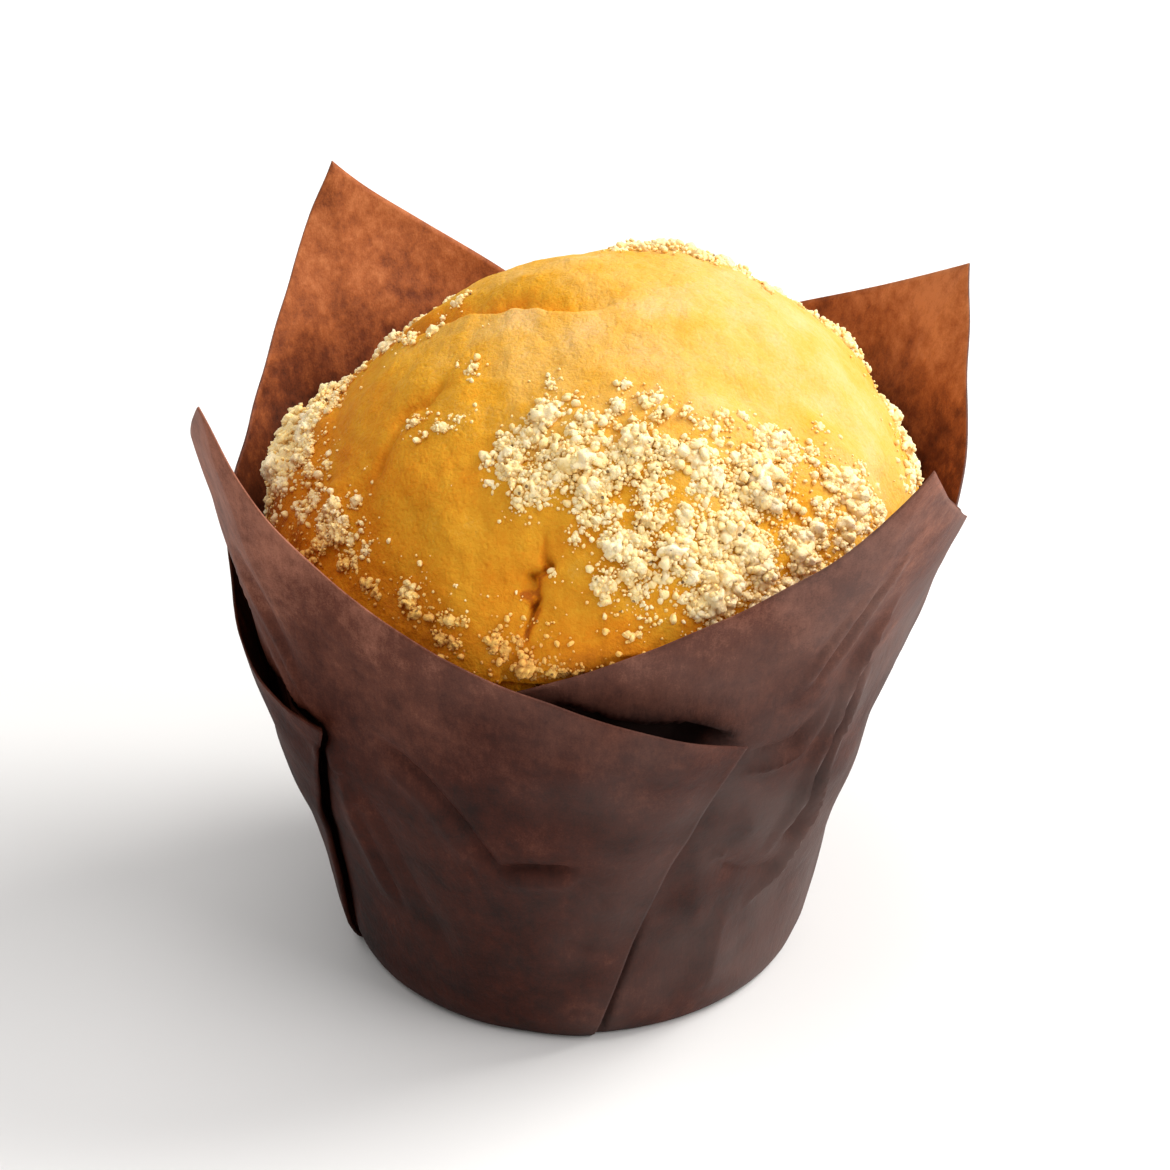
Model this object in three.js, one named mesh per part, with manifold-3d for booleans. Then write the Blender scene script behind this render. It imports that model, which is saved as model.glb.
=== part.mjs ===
import * as THREE from 'three';
import { mergeVertices } from 'three/addons/utils/BufferGeometryUtils.js';
import Module from 'manifold-3d';

// A crumble muffin in a tulip wrap. The wrap is one square sheet of baking
// paper that was pressed over a round plug: the four corners stand up as
// petals, and the slack between them is folded flat as four knife pleats.
//
// Sizes are in millimetres and +Z is up. The muffin stands on its foot, with
// the origin in the middle of it. Azimuths are in degrees from +X, counter-
// clockwise seen from above.

const wasm = await Module();
wasm.setup();
const { degToRad, lerp, smoothstep, seededRandom } = THREE.MathUtils;

// ---------------------------------------------------------------- sizes

const PAPER = 0.8;             // wall of the wrap, with the stiffness of its pleats
const CLEARANCE = 0.35;        // air between the cake and the wrap
const FOOT_RADIUS = 24.1;      // the flat disc that the wrap stands on

// The inside of the wrap, as height and radius: a small rounded heel, then a
// cone that gets steeper towards the rim.
const WALL = [[0, 23.4], [1, 24.4], [3, 25.2], [15, 27.2], [30, 30.6], [42, 33], [52, 34.5], [80, 38.5]];
const HEEL_ROWS = [0, 1, 3];

// One petal for each corner of the sheet. Its foot starts at `pleat`. Its free
// edge runs from the tucked end, up to the tip, and down to the flap that lies
// over the next petal. `lean` is how far the paper stands outside the cone,
// `share` how much of an end's climb to the tip is even (the rest comes late,
// with the power `peak`), and `flare` the power with which its lean grows.
const PETALS = [
  {
    pleat: 193, belly: 1.5, tip: { az: 212.6, z: 78.7, lean: 7.6 },
    tuck: { az: 168, z: 48, lean: 2.6, share: 1, peak: 9, flare: 1.5 },
    flap: { az: 297.3, z: 43.2, lean: 0.6, share: 0.56, peak: 9, flare: 5.5 },
  },
  {
    pleat: 273, belly: 2.2, tip: { az: 316.4, z: 76.5, lean: 11.6 },
    tuck: { az: 256, z: 49.5, lean: 0.5, share: 0.59, peak: 9, flare: 4.7 },
    flap: { az: 388, z: 43, lean: 3.2, share: 0.72, peak: 6, flare: 2.2 },
  },
  {
    pleat: 365, belly: 2.2, tip: { az: 385.2, z: 71.7, lean: 9.4 },
    tuck: { az: 345, z: 46, lean: 3.2, share: 0, peak: 2.3, flare: 1.3 },
    flap: { az: 483, z: 41, lean: 2.5, share: 0.77, peak: 4, flare: 3 },
  },
  {
    pleat: 460, belly: 2.2, tip: { az: 488.2, z: 76.7, lean: 6.5 },
    tuck: { az: 436, z: 47, lean: 2.2, share: 0.9, peak: 9, flare: 1.5 },
    flap: { az: 580.9, z: 42, lean: 1.8, share: 0.32, peak: 4, flare: 1.8 },
  },
];
const FLAP_LIFT = 3.2;         // how far a flap's loose corner stands off
const TUCK_STEPS = 7;
const FLAP_STEPS = 11;
const WALL_ROWS = 10;

// The cake's top: a mound over the rim of the wrap, a little off the axis.
const DOME = { radius: 35.3, rimZ: 49.6, height: 30.5, shift: 1.3, drift: 4.2, roundness: 1.12, sharpness: 1.21 };
const DOME_SIDES = 54;
const DOME_ROWS = 16;

// Where the crumble lies, in plan: centre, half sizes, turn, how thick the
// layer is that lifts the top there, and how many lumps lie on it.
const CRUMBLE = [
  { x: 1, y: -25, a: 10, b: 7, turn: 0, thick: 1.4, lumps: 19 },
  { x: 13, y: -23, a: 11, b: 8.5, turn: 5, thick: 2.0, lumps: 30 },
  { x: 25, y: -18, a: 8, b: 6.5, turn: 35, thick: 1.6, lumps: 16 },
  { x: -29.5, y: 2, a: 3.5, b: 10, turn: 0, thick: 1.2, lumps: 9 },
  { x: -27, y: -14, a: 3.5, b: 3.5, turn: 0, thick: 0.8, lumps: 3 },
  { x: -19, y: 9, a: 3.5, b: 5, turn: 20, thick: 0.3, lumps: 2 },
  { x: -14, y: -12.5, a: 3.5, b: 2, turn: -20, thick: 0, lumps: 1 },
  { x: 9, y: 16, a: 9, b: 4, turn: -15, thick: 0.6, lumps: 6 },
  { x: 29, y: 11, a: 3.5, b: 5, turn: 20, thick: 0.5, lumps: 4 },
  { x: 33.5, y: 1, a: 2.5, b: 6, turn: 0, thick: 0.2, lumps: 4 },
  { x: -5, y: 27, a: 14, b: 5.5, turn: 10, thick: 0.8, lumps: 8 },
];
const LUMP_SIZES = [3, 6.2];

// Cracks in the crust, as paths in plan with their width and depth.
const CRACKS = [
  { path: [[-3, -27.5], [-4, -29.6], [-5.6, -30.4], [-4.5, -31.8], [-5, -33.6]], width: 1.8, depth: 1.6 },
  { path: [[-21, 7], [-15, 2.5], [-9, 2.5], [-3, 0.5], [3, 3]], width: 3.2, depth: 1.5 },
  { path: [[-21, -2], [-16.5, -9], [-18, -11.5], [-21.5, -14.5]], width: 1.8, depth: 0.8 },
];

// ------------------------------------------------------------- helpers

function polar(az, radius, z) {
  return new THREE.Vector3(radius * Math.cos(degToRad(az)), radius * Math.sin(degToRad(az)), z);
}

function wallRadius(z) {
  const k = Math.max(1, WALL.findIndex(([height]) => height >= z));
  const [[z0, r0], [z1, r1]] = [WALL[k - 1], WALL[k]];
  return lerp(r0, r1, (z - z0) / (z1 - z0));
}

// The same shape with one vertex at each corner, shared by all its faces.
function welded(geometry) {
  geometry.deleteAttribute('normal');
  geometry.deleteAttribute('uv');
  return mergeVertices(geometry, 1e-4);
}

function toManifold(geometry) {
  const merged = welded(geometry);
  return new wasm.Manifold(new wasm.Mesh({
    numProp: 3,
    vertProperties: new Float32Array(merged.attributes.position.array),
    triVerts: new Uint32Array(merged.index.array),
  }));
}

function toGeometry(manifold) {
  const mesh = manifold.getMesh();
  const geometry = new THREE.BufferGeometry();
  geometry.setAttribute('position', new THREE.BufferAttribute(mesh.vertProperties, 3));
  geometry.setIndex(new THREE.BufferAttribute(mesh.triVerts, 1));
  geometry.computeVertexNormals();
  return geometry;
}

function indexed(points, triangles) {
  const geometry = new THREE.BufferGeometry().setFromPoints(points);
  geometry.setIndex(triangles);
  return geometry;
}

// ---------------------------------------------------------------- wrap

// The free edge of a petal, column by column. `s` runs from 0 at the corner of
// either end to 1 at the tip, and the columns crowd together near the tip.
function freeEdge(petal) {
  const climb = (end, s) => ({
    az: lerp(end.az, petal.tip.az, s),
    z: lerp(end.z, petal.tip.z, end.share * s + (1 - end.share) * s ** end.peak),
    lean: lerp(end.lean, petal.tip.lean, s ** end.flare),
  });
  const crowd = (t) => 1 - (1 - t) ** 1.5;
  const tucked = Array.from({ length: TUCK_STEPS }, (_, i) => climb(petal.tuck, crowd(i / TUCK_STEPS)));
  const folded = Array.from({ length: FLAP_STEPS + 1 }, (_, i) => {
    const s = crowd(1 - i / FLAP_STEPS);
    const point = climb(petal.flap, s);
    point.lean += FLAP_LIFT * (1 - s) ** 3;
    return point;
  });
  return [...tucked, ...folded];
}

// A closed slab along one petal, from `inner` to `outer` outside its paper's
// inner face. The flap end lies one sheet further out than the tucked end.
function petalSlab(petal, nextPleat, inner, outer) {
  const edge = freeEdge(petal);
  const last = edge.length - 1;
  const points = [];
  for (const offset of [inner, outer]) {
    edge.forEach((top, i) => {
      const layer = PAPER * smoothstep(i / last, 0.5, 0.7);
      const footAz = lerp(petal.pleat, nextPleat, i / last);
      for (let j = 0; j < WALL_ROWS; j++) {
        const heel = HEEL_ROWS.length - 1;
        const z = j <= heel ? HEEL_ROWS[j] : lerp(HEEL_ROWS[heel], top.z, (j - heel) / (WALL_ROWS - 1 - heel));
        const v = z / top.z;
        const radius = wallRadius(z) + top.lean * v ** petal.belly + layer * Math.min(1, 4 * v);
        points.push(polar(lerp(footAz, top.az, v), radius + offset, z));
      }
    });
  }
  const at = (side, i, j) => (side * edge.length + i) * WALL_ROWS + j;
  const triangles = [];
  const quad = (a, b, c, d) => triangles.push(a, b, c, a, c, d);
  for (let i = 0; i < last; i++) {
    for (let j = 0; j < WALL_ROWS - 1; j++) {
      quad(at(1, i, j), at(1, i + 1, j), at(1, i + 1, j + 1), at(1, i, j + 1));
      quad(at(0, i, j), at(0, i, j + 1), at(0, i + 1, j + 1), at(0, i + 1, j));
    }
    const top = WALL_ROWS - 1;
    quad(at(0, i, 0), at(0, i + 1, 0), at(1, i + 1, 0), at(1, i, 0));
    quad(at(1, i, top), at(1, i + 1, top), at(0, i + 1, top), at(0, i, top));
  }
  for (let j = 0; j < WALL_ROWS - 1; j++) {
    quad(at(0, 0, j), at(1, 0, j), at(1, 0, j + 1), at(0, 0, j + 1));
    quad(at(1, last, j), at(0, last, j), at(0, last, j + 1), at(1, last, j + 1));
  }
  return toManifold(indexed(points, triangles));
}

function allPetals(inner, outer) {
  return PETALS.map((petal, i) => {
    const nextPleat = i + 1 < PETALS.length ? PETALS[i + 1].pleat : PETALS[0].pleat + 360;
    return petalSlab(petal, nextPleat, inner, outer);
  });
}

function footDisc(thickness) {
  const disc = new THREE.CylinderGeometry(FOOT_RADIUS, FOOT_RADIUS, thickness, 72);
  disc.rotateX(Math.PI / 2).translate(0, 0, thickness / 2);
  return toManifold(disc);
}

const wrap = wasm.Manifold.union([...allPetals(0, PAPER), footDisc(PAPER)]);

// ---------------------------------------------------------------- cake

function distanceToPath(x, y, path) {
  const here = new THREE.Vector3(x, y, 0);
  const nearest = new THREE.Vector3();
  let best = Infinity;
  for (let k = 0; k + 1 < path.length; k++) {
    const line = new THREE.Line3(new THREE.Vector3(...path[k], 0), new THREE.Vector3(...path[k + 1], 0));
    line.closestPointToPoint(here, true, nearest);
    best = Math.min(best, nearest.distanceTo(here));
  }
  return best;
}

// 0 in the middle of a patch of crumble, 1 at its edge, more outside.
function patchDistance(patch, x, y) {
  const local = new THREE.Vector2(x - patch.x, y - patch.y).rotateAround(new THREE.Vector2(), -degToRad(patch.turn));
  return Math.hypot(local.x / patch.a, local.y / patch.b);
}

function relief(x, y) {
  const layers = CRUMBLE.map((patch) => patch.thick * (1 - smoothstep(patchDistance(patch, x, y), 0.6, 1.15)));
  const cuts = CRACKS.map(({ path, width, depth }) => depth * Math.exp(-((distanceToPath(x, y, path) / width) ** 2)));
  return Math.max(0, ...layers) - Math.max(...cuts);
}

// A point of the top: `phi` is 0 at the rim and 90 at the peak.
function domePoint(az, phi) {
  const up = Math.sin(degToRad(phi)) ** DOME.sharpness;
  const point = polar(az, DOME.radius * Math.cos(degToRad(phi)) ** DOME.roundness, DOME.rimZ + DOME.height * up);
  point.x += DOME.shift + DOME.drift * up;
  return point;
}

function domeNormal(az, phi) {
  return polar(az, Math.cos(degToRad(phi)), Math.sin(degToRad(phi)));
}

function doughSolid() {
  const rings = [PAPER + CLEARANCE, 3, 15, 30, 42, 47].map((z) => (az) => polar(az, wallRadius(z) - CLEARANCE, z));
  for (let k = 0; k < DOME_ROWS; k++) {
    const phi = 2 + 84 * (k / (DOME_ROWS - 1));
    rings.push((az) => {
      const point = domePoint(az, phi);
      return point.addScaledVector(domeNormal(az, phi), relief(point.x, point.y));
    });
  }
  const points = rings.flatMap((ring) => Array.from({ length: DOME_SIDES }, (_, i) => ring((360 * i) / DOME_SIDES)));
  const bottom = points.push(new THREE.Vector3(0, 0, PAPER + CLEARANCE)) - 1;
  const peak = points.push(domePoint(0, 90)) - 1;
  const triangles = [];
  for (let i = 0; i < DOME_SIDES; i++) {
    const next = (i + 1) % DOME_SIDES;
    for (let k = 0; k + 1 < rings.length; k++) {
      const [a, b] = [k * DOME_SIDES, (k + 1) * DOME_SIDES];
      triangles.push(a + i, a + next, b + next, a + i, b + next, b + i);
    }
    const top = (rings.length - 1) * DOME_SIDES;
    triangles.push(bottom, next, i, peak, top + i, top + next);
  }
  return toManifold(indexed(points, triangles));
}

// Lumps of crumble: dented balls, the big ones with more sides, each sunk a
// third into the top. They fall at random over their patch.
seededRandom(36);

function lump(size) {
  const ball = welded(new THREE.IcosahedronGeometry(size / 2, size > 5.3 ? 1 : 0));
  const position = ball.attributes.position;
  const vertex = new THREE.Vector3();
  for (let i = 0; i < position.count; i++) {
    vertex.fromBufferAttribute(position, i).multiplyScalar(0.85 + 0.3 * seededRandom());
    position.setXYZ(i, ...vertex);
  }
  ball.scale(1, 0.75 + 0.25 * seededRandom(), 0.7 + 0.2 * seededRandom());
  return ball.rotateX(6.28 * seededRandom()).rotateZ(6.28 * seededRandom());
}

function lumpsOn(patch) {
  const solids = [];
  while (solids.length < patch.lumps) {
    const az = 360 * seededRandom();
    const phi = THREE.MathUtils.radToDeg(Math.asin(lerp(0.12, 1, seededRandom())));
    const spot = domePoint(az, phi);
    if (patchDistance(patch, spot.x, spot.y) < 1) {
      const size = lerp(...LUMP_SIZES, seededRandom() ** 1.6);
      spot.addScaledVector(domeNormal(az, phi), relief(spot.x, spot.y) + size / 6);
      solids.push(toManifold(lump(size).translate(...spot)));
    }
  }
  return solids;
}

// Cake and crumble are one solid. It is trimmed back from the wrap, and what
// little the trim cuts loose is dropped.
const baked = wasm.Manifold.union([doughSolid(), ...CRUMBLE.flatMap(lumpsOn)]);
const trimmed = baked.subtract(wasm.Manifold.union(allPetals(-CLEARANCE, 4)));
const cake = trimmed.decompose().sort((a, b) => b.volume() - a.volume())[0];

// --------------------------------------------------------------- scene

const muffin = new THREE.Group();

const cakeMesh = new THREE.Mesh(toGeometry(cake), new THREE.MeshStandardMaterial({
  color: 0xe8b862, roughness: 0.85, metalness: 0,
}));
cakeMesh.name = 'muffin';
muffin.add(cakeMesh);

const wrapMesh = new THREE.Mesh(toGeometry(wrap), new THREE.MeshStandardMaterial({
  color: 0x4a2c26, roughness: 0.6, metalness: 0, side: THREE.DoubleSide,
}));
wrapMesh.name = 'paper_case';
muffin.add(wrapMesh);

export default muffin;
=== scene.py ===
# %% [markdown]
# # A crumble muffin in a tulip wrap
# The object has two parts that a baker would name: the baked cake with the crumble on it, and the
# brown tulip wrap. The measured solids are loaded first and stay where they are. Everything made
# below stands in their place, in metres, with +Z up and the origin in the middle of the foot.

import bpy
import numpy as np
from math import cos, pi, radians, sin
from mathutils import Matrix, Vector, noise


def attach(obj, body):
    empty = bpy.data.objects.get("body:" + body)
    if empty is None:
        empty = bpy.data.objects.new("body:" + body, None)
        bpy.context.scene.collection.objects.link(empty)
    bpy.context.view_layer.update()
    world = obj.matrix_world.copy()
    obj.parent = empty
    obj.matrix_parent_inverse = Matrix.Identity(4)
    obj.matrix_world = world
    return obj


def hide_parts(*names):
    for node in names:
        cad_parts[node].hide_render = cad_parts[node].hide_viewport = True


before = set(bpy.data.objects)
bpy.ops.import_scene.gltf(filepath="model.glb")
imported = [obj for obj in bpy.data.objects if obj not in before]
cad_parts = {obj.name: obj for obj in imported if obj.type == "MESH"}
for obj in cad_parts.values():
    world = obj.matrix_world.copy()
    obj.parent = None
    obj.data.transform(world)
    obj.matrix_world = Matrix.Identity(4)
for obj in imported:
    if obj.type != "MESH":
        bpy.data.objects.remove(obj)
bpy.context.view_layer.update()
MM = 0.001

# %% [markdown]
# ## Camera
# The photo looks down on the muffin at about 31 degrees from a long way off, so its verticals hardly
# lean in. A long lens at 600 mm gives the same perspective. The aim point is a spot inside the cake
# that lands in the middle of the frame.

# %% The camera
ELEVATION = radians(31)
DISTANCE = 600 * MM
LENS = 169.7
AIM = Vector((0.6, 0, 42.7)) * MM

camera = bpy.data.objects.new("camera", bpy.data.cameras.new("camera"))
bpy.context.scene.collection.objects.link(camera)
camera.data.lens = LENS
camera.data.clip_start = 0.05
camera.location = AIM + DISTANCE * Vector((0, -cos(ELEVATION), sin(ELEVATION)))
camera.rotation_euler = (pi / 2 - ELEVATION, 0, 0)
bpy.context.scene.camera = camera
print("camera at", [round(c, 4) for c in camera.location])

# %% [markdown]
# ## Floor and light
# The studio is a white table in white light. The strong light comes from the right and a little from
# behind, so the cake's top right is the palest and the shadow falls to the left and slightly forward. A
# soft panel in front keeps the dark paper readable, one overhead opens up the shadow on the table, and
# the white surroundings do the rest. The standard view transform shows the colours as they are worked
# out. A filmic one would grey the white table and take the gold out of the crust.

# %% The white table
def new_object(name, vertices, faces):
    """A mesh object that is linked into the scene."""
    mesh = bpy.data.meshes.new(name)
    mesh.from_pydata([tuple(v) for v in vertices], [], [tuple(f) for f in faces])
    mesh.update()
    thing = bpy.data.objects.new(name, mesh)
    bpy.context.scene.collection.objects.link(thing)
    return thing


TABLE_HALF = 2.5
table_corners = [(sx * TABLE_HALF, sy * TABLE_HALF, 0) for sx, sy in ((-1, -1), (1, -1), (1, 1), (-1, 1))]
table = new_object("table", table_corners, [(0, 1, 2, 3)])
table_white = bpy.data.materials.new("table_white")
table_white.use_nodes = True
table_shader = table_white.node_tree.nodes["Principled BSDF"]
table_shader.inputs["Base Color"].default_value = (0.80, 0.795, 0.79, 1)
table_shader.inputs["Roughness"].default_value = 0.6
table.data.materials.append(table_white)
print("table", 2 * TABLE_HALF, "m wide")

# %% The lights
def panel(name, azimuth, elevation, distance, size, watts, colour):
    """A square panel of light that points at the muffin, in degrees and metres."""
    light = bpy.data.lights.new(name, "AREA")
    light.size = size
    light.energy = watts
    light.color = colour
    lamp = bpy.data.objects.new(name, light)
    az, el = radians(azimuth), radians(elevation)
    lamp.location = AIM + distance * Vector((cos(az) * cos(el), sin(az) * cos(el), sin(el)))
    lamp.rotation_euler = (AIM - lamp.location).to_track_quat("-Z", "Y").to_euler()
    bpy.context.scene.collection.objects.link(lamp)
    print(name, "at azimuth", azimuth, "and", elevation, "degrees up")


WINDOW_AZIMUTH = 20
panel("window_light", azimuth=WINDOW_AZIMUTH, elevation=43, distance=1.2, size=0.55, watts=14.4,
      colour=(1.0, 0.98, 0.95))
panel("front_fill", azimuth=-28, elevation=36, distance=1.6, size=1.0, watts=12.5,
      colour=(1.0, 0.98, 0.97))
panel("overhead", azimuth=190, elevation=78, distance=1.5, size=1.2, watts=9.0,
      colour=(1.0, 0.985, 0.97))

ROOM_LIGHT = 0.46
world = bpy.data.worlds.new("white_room")
bpy.context.scene.world = world
world.use_nodes = True
world.node_tree.nodes["Background"].inputs["Color"].default_value = (1.0, 0.99, 0.98, 1)
world.node_tree.nodes["Background"].inputs["Strength"].default_value = ROOM_LIGHT
bpy.context.scene.view_settings.view_transform = "Standard"

# %% [markdown]
# ## The sheet of paper
# The wrap is one square sheet, about 150 mm a side, pressed over a round plug. Its corners stand up as
# four petals, and the paper that is too much for the cup is folded flat between them: each petal ends
# in a flap that lies over the next one, turns back under itself, and turns again into that next petal.
# It could be simulated as cloth, but the pleats of the photographed wrap would not land in their
# places. So the sheet is laid out as a grid: columns run round the wrap through petals and folds, and
# rows run from the foot up to the free edge. Each petal's edge follows the same measured rise and lean
# as the solid.

# %% Sizes of the wrap, in mm and degrees
PAPER = 0.22  # thickness of the sheet
WALL_Z = [0, 1, 3, 15, 30, 42, 52, 80]  # heights up the wall
WALL_R = [23.9, 24.9, 25.6, 27.6, 31, 33.2, 34.5, 38.5]  # its radius there, without the petals' lean
GAP_Z = [0, 7, 16, 26, 36, 46]  # heights for which each petal gives the gap under its flap


def end(az, z, lean, share, peak, flare):
    """The corner where a petal's free edge starts, and how the edge climbs from there to the tip."""
    return dict(az=az, z=z, lean=lean, share=share, peak=peak, flare=flare)


PETALS = [
    dict(pleat=193, belly=1.5, tip=(212.6, 78.7, 7.6), lift=4.6, gap=[0.5, 1.0, 0.5, 0.3, 0.5, 0.9],
         tuck=end(168, 48, 2.6, 1, 9, 1.5), flap=end(297.3, 42.4, 0.9, 0.56, 9, 5.5)),
    dict(pleat=273, belly=2.2, tip=(316.4, 76.5, 11.6), lift=3.2, gap=[0.3, 0.6, 0.7, 0.9, 1.2, 1.2],
         tuck=end(256, 49.5, 0.5, 0.59, 9, 4.7), flap=end(388, 43, 3.2, 0.72, 6, 2.2)),
    dict(pleat=365, belly=2.2, tip=(385.2, 71.7, 9.4), lift=3.4, gap=[0.4, 0.8, 0.9, 0.7, 0.6, 0.9],
         tuck=end(345, 46, 3.2, 0, 2.3, 0.9), flap=end(483, 41, 2.5, 0.77, 4, 3)),
    dict(pleat=460, belly=2.2, tip=(488.2, 76.7, 6.5), lift=3.4, gap=[0.6, 1.0, 1.1, 1.1, 1.0, 0.8],
         tuck=end(436, 47, 2.2, 0.925, 9, 1.5), flap=end(583.5, 39.5, 1.4, 0.32, 4, 1.3)),
]
print(len(PETALS), "petals")


# %% The free edge of a petal
def smooth(x, low, high):
    """0 below low, 1 above high and a soft step between."""
    t = np.clip((x - low) / (high - low), 0, 1)
    return t * t * (3 - 2 * t)


CURL = 0.16  # share of the edge over which a lifted corner curls back down


def climb(petal, side, s):
    """Azimuth, height and lean of the free edge, for s from 0 at the side's corner to 1 at the tip."""
    corner, (tip_az, tip_z, tip_lean) = petal[side], petal["tip"]
    rise = corner["share"] * s + (1 - corner["share"]) * s ** corner["peak"]
    az = corner["az"] + (tip_az - corner["az"]) * s
    z = corner["z"] + (tip_z - corner["z"]) * rise
    lean = corner["lean"] + (tip_lean - corner["lean"]) * s ** corner["flare"]
    if side == "flap":
        lifted = petal["lift"] * (1 - s) ** 3 * (0.45 + 0.55 * smooth(s, 0, CURL))
        lean, z = lean + lifted, z + 0.5 * lifted
    return np.stack([az, z, lean], -1)


def crowd(t):
    """Moves columns towards the tip, where the edge turns fastest."""
    return 1 - (1 - t) ** 1.4


half_way = climb(PETALS[0], "flap", 0.5)
print("half-way up a flap's edge:", half_way.round(1))


# %% [markdown]
# The columns of one petal are followed by the few columns of the strip that turns back under its flap.
# The strip's own edge dips down into the gap, where it isn't seen. A column is eight numbers: where it
# starts on the foot, the azimuth and height where it ends on the free edge, how far it leans out there,
# how strongly it bellies, on which layer of the pleat it lies, how much of the flap's gap lifts it off
# the paper below, and whose flap that is.

# %% Columns round the wrap
TUCK_COLUMNS, FLAP_COLUMNS, RETURN_COLUMNS = 52, 84, 12
FOLD_COLUMNS = [0.006, 0.0025, 0]  # the last ones of a flap lie close together and make its fold crisp
FLAP_LAYER, RETURN_LAYER = 2.2, 1.1  # how many sheets above the petal below they lie
DIP, DIP_INWARDS = 6, 2.4  # how far the strip's own edge dips down and in


def petal_columns(k):
    """The columns of petal k, then those of the strip that turns back under its flap."""
    petal, following = PETALS[k], PETALS[(k + 1) % len(PETALS)]
    turn = 360 if k + 1 == len(PETALS) else 0
    next_pleat = following["pleat"] + turn
    tucked = climb(petal, "tuck", crowd(np.arange(TUCK_COLUMNS) / TUCK_COLUMNS))
    down = np.concatenate([1 - np.arange(FLAP_COLUMNS) / FLAP_COLUMNS, FOLD_COLUMNS])
    edge = np.vstack([tucked, climb(petal, "flap", crowd(down))])
    u = np.concatenate([np.arange(TUCK_COLUMNS), TUCK_COLUMNS + (1 - down) * FLAP_COLUMNS])
    u = u / (TUCK_COLUMNS + FLAP_COLUMNS)
    foot = petal["pleat"] + (next_pleat - petal["pleat"]) * u
    like = np.ones(len(u))
    layer, stand = FLAP_LAYER * PAPER * smooth(u, 0.5, 0.7), smooth(u, 0.74, 1)
    sheet = np.column_stack([foot, edge, petal["belly"] * like, layer, stand, k * like])
    back = sheet[-1].copy()
    onward = climb(following, "tuck", np.zeros(1))[0]
    onward = np.array([next_pleat, onward[0] + turn, onward[1], onward[2], following["belly"], 0, 0, k])
    t = smooth(np.arange(1, RETURN_COLUMNS) / RETURN_COLUMNS, 0, 1)[:, None]
    strip = back + (onward - back) * t
    dip = np.sin(pi * t[:, 0])
    strip[:, 2] -= DIP * dip
    strip[:, 3] -= DIP_INWARDS * dip
    strip[:, 5] = RETURN_LAYER * PAPER
    strip[:, 6] = 1 - smooth(t[:, 0], 0.2, 0.9)
    return np.vstack([sheet, strip])


columns = np.vstack([petal_columns(k) for k in range(len(PETALS))])
print(len(columns), "columns round the wrap")

# %% [markdown]
# ## Creases and hollows
# Baked paper keeps every dent. Long soft ridges run up from the foot where the sheet was pressed round
# the plug, and a few sharp creases show in the photo. Each is a line on the wrap's wall, given by
# azimuth and height, with a width and a height of its own. Beside a flap the paper under it sinks back
# towards the cake, and that leaves the dark gaps that set off each fold. A little slow noise makes the
# rest uneven.

# %% Creases and dents
CREASES = [  # half width and height in mm, then the azimuths and heights that the line runs through
    (1.0, 1.5, (322, 57), (319.3, 48), (317, 38), (316, 31), (313.5, 21.5)),
    (1.0, -1.4, (325.5, 46), (319.8, 39.5), (318.4, 33), (319.3, 26), (320, 22)),
    (0.95, 1.35, (326, 45), (321.5, 37), (321.5, 31), (323.5, 24.5), (320, 18), (312, 14)),
    (0.9, 1.05, (301, 37.2), (306, 37.4), (310, 38.4), (313, 41), (316, 45)),
    (0.9, -1.0, (301, 40.2), (306, 40), (310, 40.4), (311.5, 42.5)),
    (0.7, 0.55, (315, 61), (311.5, 54), (308.5, 48.5)),
    (0.7, -0.6, (316.5, 61), (313, 54.5), (309.8, 48)),
    (0.7, -0.5, (312.5, 58), (309, 51.5)), (0.6, 0.55, (319, 64), (316, 57), (313, 50)),
    (1.2, -0.5, (299, 24), (306, 21.2), (313, 19.6), (322, 18.5)), (1.0, 0.3, (303, 32), (307, 26)),
    (0.5, 0.3, (298.7, 25.3), (302, 24)), (2.6, 0.5, (292, 33), (299, 12)),
    (2.4, 0.6, (306, 16), (303, 3)),
    (0.8, -0.95, (232, 41), (240.8, 36.8), (246.8, 32.3), (252, 27.8), (254.6, 25.4)),
    (1.4, 0.45, (231, 38), (240, 34), (246, 29), (251, 24)), (0.8, -0.45, (247.5, 30), (248.8, 24)),
    (0.75, -1.15, (253.6, 25.7), (260, 26.6), (270, 27)),
    (1.2, 0.6, (255, 24.2), (262, 24.4), (269.5, 25)),
    (0.9, -0.45, (269.5, 25.4), (273, 23.4), (276, 21)), (0.9, -0.4, (266, 15.8), (273, 14.4)),
    (1.8, 0.7, (222, 33), (221.8, 24), (223.5, 14)), (1.0, -0.5, (223.2, 29.5), (224.6, 21), (227, 14)),
    (2.2, -0.6, (226, 33), (232, 20), (240, 9)), (1.0, 0.8, (221.4, 37.5), (221.6, 33)),
    (2.0, 0.7, (205, 60), (213, 47), (220, 38)), (1.6, -0.5, (210, 60), (218, 46)),
    (6.0, 1.0, (352, 52), (352, 34)), (3.0, 0.6, (20, 50), (12, 20)),
    (3.4, 0.8, (52, 55), (44, 15)), (2.6, -0.8, (70, 46), (74, 16)),
    (3.0, 0.9, (95, 50), (104, 18)), (3.4, -0.8, (118, 62), (124, 22)), (3.2, 0.9, (140, 60), (148, 18)),
    (1.2, -0.6, (36, 44), (40, 30), (47, 24)), (1.1, 0.6, (84, 40), (88, 31), (96, 27)),
    (1.1, -0.7, (150, 38), (156, 31), (160, 20)), (2.4, 0.6, (185, 38), (186, 8)),
    (0.7, 0.3, (203, 57), (211, 47), (218, 39)), (0.6, -0.3, (206, 57), (213.5, 47), (220.5, 38.5)),
    (0.6, 0.3, (209, 56), (215, 48), (222, 39)),
]
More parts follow.
